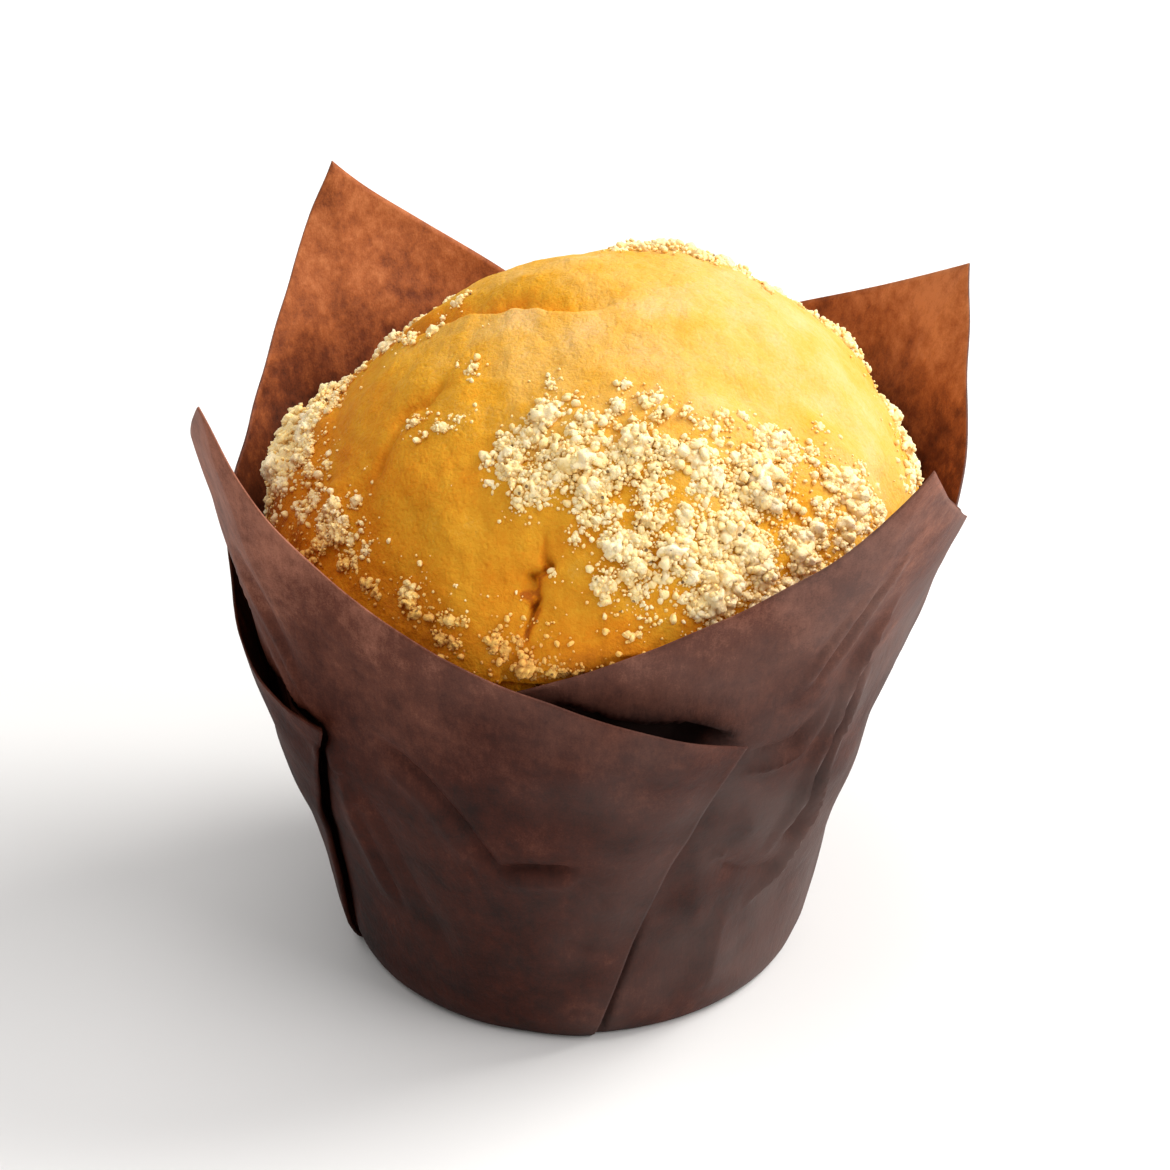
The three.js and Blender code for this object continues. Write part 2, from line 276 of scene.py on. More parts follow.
HOLLOWS = [  # petal, depth and width of the step in mm, then the line: the hollow is on its right
    (1, 3.8, 0.8, (263, 50.6), (270, 48.8), (276.7, 47.0), (283.1, 46.2), (289.1, 46.2), (295.6, 44.2),
     (302, 40.4)),
    (0, 2.0, 0.8, (193, 54), (195, 48), (199.5, 43), (204.8, 41.8), (211.1, 41.6), (217.2, 40.9),
     (221.6, 39.9), (221.2, 37), (218.8, 33.4), (214, 26.2), (206, 18), (200, 9), (197, -2)),
    (1, 0.8, 0.5, (288, 20), (283.2, 12), (279.4, 6), (276.4, 0), (275, -4)),
]
print(len(CREASES), "creases and", len(HOLLOWS), "hollows")


# %% Distances along the wall
def line_distance(px, py, line):
    """Distance from a line of straight pieces, negative on its right, and how far along it, 0 to 1."""
    best, signed, along = np.full(px.shape, 1e9), np.zeros(px.shape), np.zeros(px.shape)
    for k, ((x0, y0), (x1, y1)) in enumerate(zip(line, line[1:])):
        dx, dy = x1 - x0, y1 - y0
        t = np.clip(((px - x0) * dx + (py - y0) * dy) / (dx * dx + dy * dy), 0, 1)
        away = np.hypot(px - x0 - t * dx, py - y0 - t * dy)
        side = np.sign(dx * (py - y0) - dy * (px - x0))
        signed = np.where(away < best, side * away, signed)
        along = np.where(away < best, (k + t) / (len(line) - 1), along)
        best = np.minimum(away, best)
    return signed, along


def on_wall(az, z, line):
    """line_distance on the unrolled wall, for a line given by azimuth and height."""
    turn = line[0][0]
    arc = radians(1) * np.interp(line[0][1], WALL_Z, WALL_R)
    path = [((a - turn) * arc, h) for a, h in line]
    return line_distance(((az - turn + 180) % 360 - 180) * arc, z, path)


# %% How far creases and hollows move the wall
def crease_height(az, z):
    """How far the creases push the wall out at points given by azimuth and height."""
    push = np.zeros_like(z)
    for width, height, *line in CREASES:
        away, along = on_wall(az, z, line)
        fade = np.clip(np.minimum(along, 1 - along) * 5, 0, 1) ** 0.7
        push += height * fade * np.clip(1 - np.abs(away) / (1.6 * width), 0, 1) ** 1.5
    return push


HOLLOW_FLAT, HOLLOW_END = 5, 9  # mm from the step to where the paper starts to rise, and is back


def hollow_depth(az, z, owner):
    """How far a petal's wall sinks away beside the flap that lies over it."""
    sink = np.zeros_like(z)
    for petal, depth, step, *line in HOLLOWS:
        away, along = on_wall(az, z, line)
        fade = smooth(np.minimum(along, 1 - along), 0, 0.3)
        under = smooth(-away, 0, step) * (1 - smooth(-away, HOLLOW_FLAT, HOLLOW_END))
        sink = np.maximum(sink, depth * fade * under * (owner == petal))
    return sink


def slow_noise(points, scale, seed):
    """Smooth noise at points in mm. The smaller the scale, the slower it is."""
    shift = Vector((seed, 2 * seed, 3 * seed))
    values = [noise.noise(Vector(p) * scale + shift) for p in points.reshape(-1, 3)]
    return np.array(values).reshape(points.shape[:-1])


# %% The sheet as a mesh
def polar(az, radius, z):
    """Points from azimuth in degrees, radius and height."""
    a = np.radians(az)
    return np.stack([radius * np.cos(a), radius * np.sin(a), z], -1)


ROWS = 96
HEEL = [0, 0.35, 0.8, 1.4, 2.1, 3]  # heights of the first rows, where the wall rounds into the foot
FOOT_RINGS = [22.5, 18, 12, 6, 2]
PRESSED_AZ, PRESSED = 335, 0.85  # below its rim the wall is a little flatter on the right

foot_az, top_az, top_z, top_lean, belly, layer, stand, owner = [c[:, None] for c in columns.T]
climb_share = np.linspace(0, 1, ROWS)[None, 1:]
z = np.hstack([np.tile(HEEL, (len(columns), 1)), HEEL[-1] + (top_z - HEEL[-1]) * climb_share])
share = z / top_z
az = foot_az + (top_az - foot_az) * share
radius = np.interp(z, WALL_Z, WALL_R) + top_lean * share ** belly + layer * np.clip(4 * share, 0, 1)
gap = np.array([np.interp(h, GAP_Z, PETALS[int(k)]["gap"]) for h, k in zip(z, owner[:, 0])])
radius += gap * stand + crease_height(az, z) * smooth(z, 1, 8) * (1 - 0.7 * smooth(share, 0.85, 1))
sunk = hollow_depth(az, z, np.where(stand > 0, -1, owner)) * smooth(z, 0, 2.5)
radius -= sunk
radius -= PRESSED * np.clip(np.cos(np.radians(az - PRESSED_AZ)), 0, 1) * (1 - smooth(z, 32, 46))
wall = polar(az, radius, z)
uneven = slow_noise(wall, 0.045, 3) * 1.1 + slow_noise(wall, 0.14, 9) * 0.35
wall = polar(az, radius + uneven * smooth(z, 0, 14), z)
print("rim from", round(float(top_z.min()), 1), "to", round(float(top_z.max()), 1), "mm high")

# %% [markdown]
# The foot is closed by a few rings of the same sheet. Then Solidify gives the paper its thickness, which
# keeps the thin raw edge that catches the light in the photo. The sheet's two faces get two materials,
# because the inside is painted with the glow of the light that comes through the petals. Two numbers are
# stored on each point for them: `facing` says how squarely it faces the window, so that painted light can
# make the paper lighter or darker on that side, and `sunk` how deep it lies in a hollow, where painted
# shade makes the paper darker.

# %% Join foot, wall and folds
rings = [polar(foot_az[:, 0], r, np.zeros(len(columns))) for r in FOOT_RINGS]
grid = np.concatenate([np.stack(rings[::-1], 1), wall], 1)
n_col, n_row = grid.shape[:2]


def at(i, j):
    """The number of the vertex in column i and row j."""
    return (i % n_col) * n_row + j


faces = [(at(i, j), at(i + 1, j), at(i + 1, j + 1), at(i, j + 1))
         for i in range(n_col) for j in range(n_row - 1)]
vertices = np.vstack([grid.reshape(-1, 3), [[0, 0, 0]]]) * MM
faces += [(len(vertices) - 1, at(i + 1, 0), at(i, 0)) for i in range(n_col)]
tulip_wrap = new_object("tulip_wrap", vertices, faces)
tulip_wrap.data.shade_smooth()
weld = tulip_wrap.modifiers.new("weld", "WELD")
weld.merge_threshold = 0.01 * MM
thicken = tulip_wrap.modifiers.new("thicken", "SOLIDIFY")
thicken.thickness = PAPER * MM
thicken.offset = 1
thicken.material_offset = 1
thicken.material_offset_rim = 0
print("sheet:", len(vertices), "vertices")

# %% Facing the window, and sunk beside a flap
def store(thing, name, values):
    """Keeps one number for each point of a mesh, under a name that a material can read."""
    numbers = thing.data.attributes.new(name, "FLOAT", "POINT")
    numbers.data.foreach_set("value", np.asarray(values, np.float32))


# How squarely each point faces the window, for painted light on that side of the paper.
facing = np.cos(np.arctan2(vertices[:, 1], vertices[:, 0]) - radians(WINDOW_AZIMUTH))
store(tulip_wrap, "facing", facing)
# How deep each point lies in a hollow beside a flap, for painted shade there.
depth = np.hstack([np.zeros((n_col, len(FOOT_RINGS))), sunk])
store(tulip_wrap, "sunk", np.append(depth.ravel(), 0))
print("facing the window:", int((facing > 0).sum()), "points")
print("deepest hollow:", round(float(depth.max()), 1), "mm")

# %% Place the wrap
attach(tulip_wrap, "root")
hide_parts("paper_case")

# %% [markdown]
# ## How much room the wrap leaves
# Cake and crumble must stay inside the paper. The wall's grid is sorted into a small table of azimuth
# and height that keeps the innermost radius of each cell, so that later steps can ask how far out
# something may go. Above the free edge there is no limit.

# %% A table of the wrap's inside
AZ_BINS, Z_BINS, BIN_HEIGHT = 120, 42, 2
OPEN = 99.0
room = np.full((AZ_BINS, Z_BINS), OPEN)
wall_az = (np.degrees(np.arctan2(wall[..., 1], wall[..., 0])) % 360) / 360 * AZ_BINS
cell = wall_az.astype(int) % AZ_BINS, (wall[..., 2] / BIN_HEIGHT).astype(int)
np.minimum.at(room, cell, np.hypot(wall[..., 0], wall[..., 1]))


def room_at(points):
    """The wrap's inner radius at each point's azimuth and height."""
    a = (np.degrees(np.arctan2(points[..., 1], points[..., 0])) % 360) / 360 * AZ_BINS - 0.5
    h = points[..., 2] / BIN_HEIGHT - 0.5
    a0, h0 = np.floor(a).astype(int), np.floor(h).astype(int)
    cells = [room[(a0 + i) % AZ_BINS, np.clip(h0 + j, 0, Z_BINS - 1)] for i in (0, 1) for j in (0, 1)]
    return np.min(cells, axis=0)


print("tightest row:", round(float(room[room < OPEN].min()), 1), "mm")

# %% [markdown]
# ## The cake
# The batter filled the wrap, rose over its rim and set as a mound that is a little off the axis and
# steeper on the right. Its skin is smooth and moist, with a torn ledge at the upper left, a crack that
# runs down at the front and a shallow dent on the left. The mound is a grid in azimuth and slope with
# the same measured form as the solid, and its features are pushed in or out as paths seen from above.

# %% Form of the mound
DOME = dict(radius=35.3, rim_z=49.6, height=30.5, shift=1.3, drift=4.2, roundness=1.12, sharpness=1.21)


def dome_point(az, phi):
    """A point of the mound: phi is 0 at the rim and 90 at the peak."""
    up = np.sin(np.radians(phi)) ** DOME["sharpness"]
    reach = DOME["radius"] * np.cos(np.radians(phi)) ** DOME["roundness"]
    point = polar(az, reach, DOME["rim_z"] + DOME["height"] * up)
    point[..., 0] += DOME["shift"] + DOME["drift"] * up
    return point


def dome_normal(az, phi):
    """The direction that points straight out of the mound."""
    return polar(az, np.cos(np.radians(phi)), np.sin(np.radians(phi)))


# %% Where the crumble lies
CRUMBLE = [  # centre, half sizes and turn in plan, and the thickness of the layer
    (1, -25, 10, 7, 0, 1.4), (13, -23, 11, 8.5, 5, 2.0), (25, -18, 8, 6.5, 35, 1.6),
    (-29.5, 2, 3.5, 10, 0, 1.2), (-27, -14, 3.5, 3.5, 0, 0.8), (-19, 9, 3.5, 5, 20, 0.3),
    (-14, -12.5, 3.5, 2, -20, 0), (9, 16, 9, 4, -15, 0.6), (29, 11, 3.5, 5, 20, 0.5),
    (33.5, 1, 2.5, 6, 0, 0.2), (-5, 27, 14, 5.5, 10, 0.8),
]
print(len(CRUMBLE), "patches of crumble")


def patch_distance(patch, x, y):
    """0 in the middle of a patch of crumble, 1 at its edge, more outside."""
    turn = radians(patch[4])
    dx, dy = x - patch[0], y - patch[1]
    along, across = dx * cos(turn) + dy * sin(turn), dy * cos(turn) - dx * sin(turn)
    return np.hypot(along / patch[2], across / patch[3])


# %% Cracks, ledge and dent
FRONT_CRACK = [(-3.6, -27.3), (-3.5, -28.5), (-2.8, -29.4), (-4.1, -29.8), (-5.4, -30.0), (-4.6, -30.8),
               (-4.2, -31.3), (-5.1, -31.9), (-5.4, -32.5)]
# How far the crack has opened, at even steps along it.
TORN = [0.1, 0.25, 1.0, 0.45, 1.1, 0.4, 0.55, 1.0, 0.35]
SIDE_DENT = [(-14.5, -8.6), (-15.7, -9.4), (-18.2, -9.5), (-19, -11.3), (-20.4, -12.9), (-21.3, -14.4)]
LEDGE = [
    (-21, 8), (-15.6, 4.7), (-11.4, 1.7), (-7.0, -0.6), (-3.0, -2.8), (-0.8, -3.6), (2.5, -3.6),
    (6.4, -1.9)]
CRACK_WIDTH = 0.34


def path_distance(x, y, path):
    """Distance from a path seen from above. It is negative on the path's right."""
    return line_distance(x, y, path)[0]


def crack_share(x, y):
    """1 in the middle of the front crack where it is torn most, falling to 0 beside it."""
    away, along = line_distance(x, y, FRONT_CRACK)
    return np.exp(-(away / CRACK_WIDTH) ** 2) * np.interp(along, np.linspace(0, 1, len(TORN)), TORN)


def relief(x, y):
    """How far crumble layer, cracks, ledge and dent move the skin out, in mm."""
    layers = [0.7 * p[5] * (1 - smooth(patch_distance(p, x, y), 0.6, 1.15)) for p in CRUMBLE]
    crack = 1.7 * crack_share(x, y) + 0.5 * np.exp(-(path_distance(x, y, FRONT_CRACK) / 2.0) ** 2)
    dent = 0.5 * np.exp(-(path_distance(x, y, SIDE_DENT) / 0.5) ** 2)
    dent += 0.45 * np.exp(-(path_distance(x, y, SIDE_DENT) / 2.2) ** 2)
    behind = path_distance(x, y, LEDGE)
    valley_side, lip_side = np.exp(-(np.abs(behind) / 3.2) ** 1.5), np.exp(-np.abs(behind) / 0.6)
    ledge = 1.5 * np.where(behind > 0, valley_side, lip_side)
    ledge -= 0.8 * np.exp(-((behind + 3) / 2.4) ** 2)
    ledge *= 1 - smooth(x, -2, 6)
    return np.max(layers, axis=0) - np.maximum.reduce([crack, dent, ledge])


# %% The cake's skin
# The columns lie closer together in front, where the crack is.
AZIMUTHS = np.concatenate([np.arange(222, 318, 0.32), np.arange(318, 582, 0.88)])
SIDES, SLOPES = len(AZIMUTHS), 200
HIDDEN = [(1.4, 22.6), (3, 24.2), (15, 26.4), (30, 29.6), (42, 31.8), (46, 32.8)]  # height, radius
CLEARANCE = 0.35

slope = 1 + 87.5 * np.linspace(0, 1, SLOPES) ** 0.93
az_grid, phi_grid = np.meshgrid(AZIMUTHS, slope)
skin = dome_point(az_grid, phi_grid)
lumpy = slow_noise(skin, 0.07, 5) + 0.42 * slow_noise(skin, 0.21, 7) + 0.14 * slow_noise(skin, 0.75, 2)
wobble = slow_noise(skin, 0.4, 11) * 0.5
push = relief(skin[..., 0] + wobble, skin[..., 1] + wobble) + lumpy * smooth(phi_grid, 0, 12)
skin = skin + dome_normal(az_grid, phi_grid) * push[..., None]


# %% The cake as a mesh
body = [polar(AZIMUTHS, r, np.full(SIDES, z)) for z, r in HIDDEN]
rows = np.concatenate([np.stack(body), skin])
reach = np.hypot(rows[..., 0], rows[..., 1])
rows[..., :2] *= (np.minimum(reach, room_at(rows) - CLEARANCE) / reach)[..., None]
cake_points = np.vstack([rows.reshape(-1, 3), [[0, 0, HIDDEN[0][0]]], [skin[-1].mean(0)]])
bottom, peak = len(cake_points) - 2, len(cake_points) - 1
ring = [(i, (i + 1) % SIDES) for i in range(SIDES)]
cake_faces = [(k + i, k + j, k + j + SIDES, k + i + SIDES)
              for k in range(0, bottom - SIDES, SIDES) for i, j in ring]
cake_faces += [(bottom, j, i) for i, j in ring]
cake_faces += [(peak, bottom - SIDES + i, bottom - SIDES + j) for i, j in ring]
cake = new_object("cake", cake_points * MM, cake_faces)
cake.data.shade_smooth()
print("cake:", len(cake_points), "vertices, top at", round(float(skin[..., 2].max()), 1), "mm")

# %% [markdown]
# The skin's colour runs from pale yellow to brown. The top right, which faces the light, is painted
# paler and the low left flank, which is in shade, darker. The skin is also darker in the valley behind the
# ledge, along the edge of the crack and the dent and low on the mound, with random patches. This is worked
# out once for each vertex and stored on the mesh, from 0 for pale yellow to 1 for brown, so that the
# material can read it.

# %% Browning and painted light of the skin
x, y, height = skin[..., 0], skin[..., 1], skin[..., 2]
# Painted light: paler towards the top right, which faces the light, and darker low on the left.
painted_light_side = 0.75 * (x - 4) / 35 + 0.2 * (y + 5) / 35 + 0.62 * (height - 66) / 16
browning_and_painted_light = 0.45 - 0.30 * painted_light_side
browning_and_painted_light = browning_and_painted_light + 0.12 * slow_noise(skin, 0.06, 21) + 0.14 * slow_noise(skin, 0.22, 22)
# Darker in the valley behind the ledge, along the crack and the dent, and low on the mound.
valley = path_distance(x, y, LEDGE)
in_valley = np.where(valley > -0.6, np.exp(-(valley / 4.5) ** 2), 0) * (1 - smooth(x, -6, 5))
browning_and_painted_light += 0.4 * in_valley - 0.06 * np.exp(-((valley + 3) / 2.5) ** 2)
browning_and_painted_light += 0.75 * crack_share(x + wobble, y + wobble)
browning_and_painted_light += 0.16 * np.exp(-(path_distance(x + wobble, y + wobble, SIDE_DENT) / 1.2) ** 2)
browning_and_painted_light += (0.1 + 0.12 * smooth(x, -6, 4)) * (1 - smooth(phi_grid, 8, 30))
hidden_browning = np.full(len(HIDDEN) * SIDES, 0.55)
end_browning = [0.5, 0.3]  # the two closing points, at the bottom and on the peak
browning_and_painted_light = np.clip(browning_and_painted_light, 0, 1).ravel()
store(cake, "browning_and_painted_light", np.concatenate([hidden_browning, browning_and_painted_light, end_browning]))
print("browning on average:", round(float(browning_and_painted_light.mean()), 2))
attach(cake, "root")
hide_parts("muffin")

# %% [markdown]
# ## Crumble
# Crumble is butter, sugar and flour rubbed together until grains of about a millimetre cling in clumps.
# It could be scattered at random, but the photo shows where the heap and the clumps lie. So the clumps
# are a list of places, as seen from above, with a radius each. Smaller ones fill in between those of the
# heaps, and where the photo can't see, the far side of the mound, some are dealt out at random.

# %% Where the clumps lie: x, y and radius in mm
FRONT_HEAP = [
    (18.2, -21.8, 2.9), (19.8, -17.7, 2.2), (16.7, -20.5, 1.5), (27.2, -17.1, 2.6),
    (25.3, -17.4, 1.5), (22.8, -24.2, 2.6), (23.6, -22.3, 1.5), (15.3, -26, 2.2), (17, -26.5, 1.7),
    (18.2, -26.9, 2.2), (13.9, -29.7, 2.6), (12.4, -30.8, 1.7), (26.5, -20.1, 2), (30.3, -15, 1.3),
    (31, -15.5, 0.9), (-3.4, -17.6, 2), (-4.8, -18.5, 1.3), (-7.9, -18.5, 1.1), (-7.2, -20.1, 1.3),
    (-6.8, -21.7, 1.5), (-6, -23.7, 1.3), (-3.8, -24.3, 1.5), (-2, -23.6, 1.3), (1.2, -18.6, 1.5),
    (-0.3, -19.9, 1.1), (4, -17.6, 1.1), (7.9, -16.8, 1), (0.5, -22.4, 2.4), (-1.5, -21.2, 1.3),
    (1.2, -24.7, 2), (3.9, -23.7, 1.5), (2.1, -20.9, 1.3), (6.8, -26.9, 1.5), (3.7, -28.6, 1.6),
    (5.1, -29.1, 1.1), (6.1, -29.8, 1.7), (9.7, -28.7, 2), (8.7, -30.2, 1.3), (2.7, -31, 1.4),
    (5.9, -31.5, 1.1), (11.5, -21.9, 2.2), (13.4, -22.6, 1.5), (12, -24.1, 1.5),
    (10.9, -26.1, 1.5), (9.1, -21.8, 1.3), (7.6, -23, 1.3), (6.1, -21.2, 2), (14.7, -25.6, 1.5),
    (16, -26.6, 1.5), (14.3, -28.7, 1.3), (6.4, -24.8, 0.9), (8.1, -25.2, 1), (13.1, -27.6, 1.3),
    (11.3, -29.7, 1.1), (7, -31.1, 0.9), (2, -27, 0.9), (4, -26.4, 0.8), (-0.2, -26.5, 0.7),
    (-2.5, -22.4, 0.8), (12.3, -18.8, 0.9), (14.6, -17.1, 0.8), (10.9, -17.7, 0.8),
    (19.7, -27.8, 1.5), (17.8, -29.3, 1.1), (21, -26.6, 1.1), (28.7, -17.8, 1.1),
    (24.8, -19.8, 0.9), (21.4, -21.8, 0.8)]
LEFT_HEAP = [
    (-27.6, 10.8, 2.1), (-29.3, 10, 2.3), (-30.2, 7.6, 2.6), (-31.2, 5, 2.4), (-31.6, 1.8, 2.3),
    (-30.8, 0, 2.1), (-27.6, 7.2, 1.7), (-28.4, 4.4, 1.7), (-28.9, 1.4, 1.6), (-29.4, -2.2, 1.5),
    (-28.4, -6.1, 1.2), (-30.8, -3.4, 1.7), (-32.5, 4.9, 1.5), (-25.6, -14, 1.4),
    (-26.6, -13.8, 1.1), (-25.3, -16.3, 1.3), (-28.5, -11.4, 1.3), (-27.2, -15.2, 1),
    (-24.9, -19.3, 1.2), (-23.7, -20.6, 0.8)]
RIM_LINE = [
    (-22.1, -23, 1), (-21.5, -24, 0.7), (-18.3, -25.9, 0.7), (-17.7, -27, 1.1), (-17, -27.9, 0.9),
    (-15.6, -28.1, 0.4), (-15.2, -28.6, 0.4), (-13, -28.7, 0.3), (-12.4, -28.4, 0.3),
    (-11.5, -29.5, 0.3), (-13.3, -29.8, 0.9), (-11.7, -30.6, 0.8), (-14.4, -29.3, 0.5),
    (-14.4, -30.2, 0.8), (-12.9, -31.1, 0.8), (-8.7, -32.3, 1.1), (-7.7, -32.9, 0.8),
    (-6.3, -32.9, 0.7), (-5.6, -33.9, 1.3), (-4.5, -34.2, 0.9), (-2.6, -34.4, 1.1),
    (-1.5, -34.6, 0.8), (-0.3, -34.7, 0.9), (1.6, -34.8, 0.5), (2.9, -34.6, 0.8),
    (3.5, -34.5, 0.9), (0.2, -33.7, 0.3), (2.5, -34, 0.3)]
SINGLES = [
    (-17.3, -11.5, 0.9), (-17.7, -11.7, 0.5), (-14.2, -14, 0.9), (-14.8, -13.9, 0.7),
    (-13.4, -14.9, 0.5), (-12.3, -14.2, 0.8), (-15.9, -14.1, 0.4), (-13.3, -20.5, 0.3),
    (-10.7, -21.1, 0.4), (-12.6, -12.1, 0.4), (-12.1, -12.2, 0.4), (-12.6, -13.9, 0.3),
    (-11.4, -8.6, 0.8), (-10.9, -9.5, 0.5), (-12.5, -7, 0.5), (-20.9, 12.6, 1.7), (-22, 13.1, 1.0),
    (-18.0, 4.2, 1.1), (-18.9, 5.6, 0.7), (-12.7, 8.5, 0.9), (-13.4, 8.4, 0.7), (-15, 7.5, 0.5),
    (-15.6, 2.9, 0.8), (-16, 2.2, 0.4), (-9.8, -2.4, 0.4), (-20.6, 1.3, 0.4)]
TOP_AND_RIGHT = [
    (5.7, 14.8, 0.9), (4.4, 12.9, 0.7), (7, 12.8, 0.5), (8.7, 14.4, 1), (10.1, 13.4, 0.9),
    (11.6, 12.5, 0.7), (3.8, 14.8, 0.5), (10.2, 14, 0.5), (11.9, 12.6, 0.7), (13.5, 11.2, 0.9),
    (15.1, 11, 0.5), (19.8, 6.9, 0.5), (25.4, 11.7, 0.6), (15.5, 12, 0.9), (17.1, 9.7, 0.8),
    (18.4, 7.7, 0.4), (26.7, 11, 0.6), (27.6, 10.5, 0.9), (28.7, 10, 1.1), (29.5, 9.8, 0.8),
    (23.5, 12.4, 0.4), (34, 6.5, 1), (33.5, 7, 0.6), (34.8, 5.6, 0.7), (35.2, 2.8, 1),
    (34.7, 3.3, 0.8), (35.9, 1.7, 0.9), (35.6, -1.7, 0.6), (36, 0.6, 0.9), (35.6, -3.6, 0.6),
    (34.3, -6.6, 0.5)]
GROUPS = [(FRONT_HEAP, 1.22), (LEFT_HEAP, 1.25), (RIM_LINE, 1.5), (SINGLES, 1.3),
          (TOP_AND_RIGHT, 2.1)]  # with a factor on the radii that gives each group the photo's bulk
seen = np.array([(x, y, scale * r) for group, scale in GROUPS for x, y, r in group])
print(len(seen), "clumps seen in the photo")


# %% On the mound
def on_mound(x, y):
    """Azimuth and slope of the mound's point that lies at x, y when seen from above."""
    up = np.full(x.shape, 0.5)
    for _ in range(30):  # the mound drifts sideways as it rises, so height and slope are found in turn
        dx = x - DOME["shift"] - DOME["drift"] * up
        flat = np.clip(np.hypot(dx, y) / DOME["radius"], 0, 1) ** (1 / DOME["roundness"])
        phi = np.degrees(np.arccos(flat))
        up = np.sin(np.radians(phi)) ** DOME["sharpness"]
    return np.degrees(np.arctan2(y, dx)), phi


def on_skin(az, phi, sink):
    """The cake's skin at azimuth and slope, sink mm deep."""
    point = dome_point(az, phi)
    height = relief(point[:, 0], point[:, 1]) + slow_noise(point, 0.07, 5) * smooth(phi, 0, 12)
    return point + dome_normal(az, phi) * (height - sink)[:, None]


# %% Clumps between those seen, and on the far side
rng = np.random.default_rng(36)
heaped = np.array(FRONT_HEAP + LEFT_HEAP)
BETWEEN = 560
host = heaped[rng.choice(len(heaped), BETWEEN, p=heaped[:, 2] ** 2 / (heaped[:, 2] ** 2).sum())]
between = host[:, :2] + rng.normal(size=(BETWEEN, 2)) * (0.45 + 0.65 * host[:, 2:])
between_radius = rng.uniform(0.55, 1.3, BETWEEN)
UNSEEN = 110
far_az = rng.uniform(20, 165, UNSEEN)
far_phi = np.degrees(np.arctan(1.35 * np.sin(np.radians(far_az)))) * rng.uniform(0.15, 1, UNSEEN)
far_radius = 0.5 + 1.7 * rng.uniform(0, 1, UNSEEN) ** 1.8
near_az, near_phi = on_mound(*np.vstack([seen[:, :2], between]).T)
clump_az, clump_phi = np.concatenate([near_az, far_az]), np.concatenate([near_phi, far_phi])
clump_radius = np.concatenate([seen[:, 2], between_radius, far_radius])
clump_middle = on_skin(clump_az, clump_phi, 0.2 * clump_radius)
clump_up = dome_normal(clump_az, clump_phi)
print(len(clump_radius), "clumps in all")

# %% [markdown]
# The larger clumps get a core, which is a lump or a cluster, and nuggets, grains and bits sit on their
# shells. Loose grains and dust lie round them on the skin. Each one is a ball that is dented at random
# into smaller beads, chipped flat in places and roughened. A few such shapes, turned and stretched,
# serve for all of a kind. They could be instances, but those would be lost in an export, so all of one
# kind are joined into one mesh with array arithmetic, which is quick. Those low at the rim, where butter
# soaks in, get a deeper tone, and the undersides of all are painted deeper as shade.

# %% Ball templates
import bmesh


def ball(subdivisions):
    """Points and triangles of a ball of radius 1."""
    bm = bmesh.new()
    bmesh.ops.create_icosphere(bm, subdivisions=subdivisions, radius=1)
    points = np.array([v.co for v in bm.verts])
    triangles = np.array([[v.index for v in f.verts] for f in bm.faces])
    bm.free()
    return points, triangles


def any_turn():
    """A random rotation matrix."""
    q, r = np.linalg.qr(rng.normal(size=(3, 3)))
    q = q * np.sign(np.diag(r))
    return q * np.sign(np.linalg.det(q))


def beaded(points, beads, bump):
    """Radius factors that make a ball look like a cluster of smaller grains."""
    centres = rng.normal(size=(beads, 3))
    centres /= np.linalg.norm(centres, axis=1, keepdims=True)
    near = np.clip(points @ centres.T, -1, 1)
    spread = 1.9 / np.sqrt(beads)
    lift = np.sqrt(np.clip(1 - (np.arccos(near) / spread) ** 2, 0, 1)) * rng.uniform(0.6, 1, beads)
    return 1 - bump + bump * lift.max(1)


def chipped(points, cuts):
    """Radius factors that cut random flats into a ball, for an angular grain."""
    planes = rng.normal(size=(cuts, 3))
    planes /= np.linalg.norm(planes, axis=1, keepdims=True)
    facing = np.maximum(points @ planes.T, 0.05)
    return np.minimum((rng.uniform(0.6, 0.95, cuts) / facing).min(1), 1)


FLATS = 9


def grain_shape(template, beads, bump):
    """One kind of grain: beads, chipped flats and a rough surface on a ball."""
    coarse = slow_noise(template, 1.9, rng.uniform(0, 50))
    fine = slow_noise(template, 4.5, rng.uniform(0, 50))
    rough = 1 + 0.19 * coarse + 0.14 * fine
    return template * (beaded(template, beads, bump) * chipped(template, FLATS) * rough)[:, None]


print("points of a ball:", [len(ball(subdivisions)[0]) for subdivisions in (1, 2, 3, 4)])


# %% Joining grains into one piece
SHAPES = 16
MOUND_HEART = np.array([3, 0, 35])
SOAKED = 0.85
AIR = 0.1  # mm between the crumble and the paper


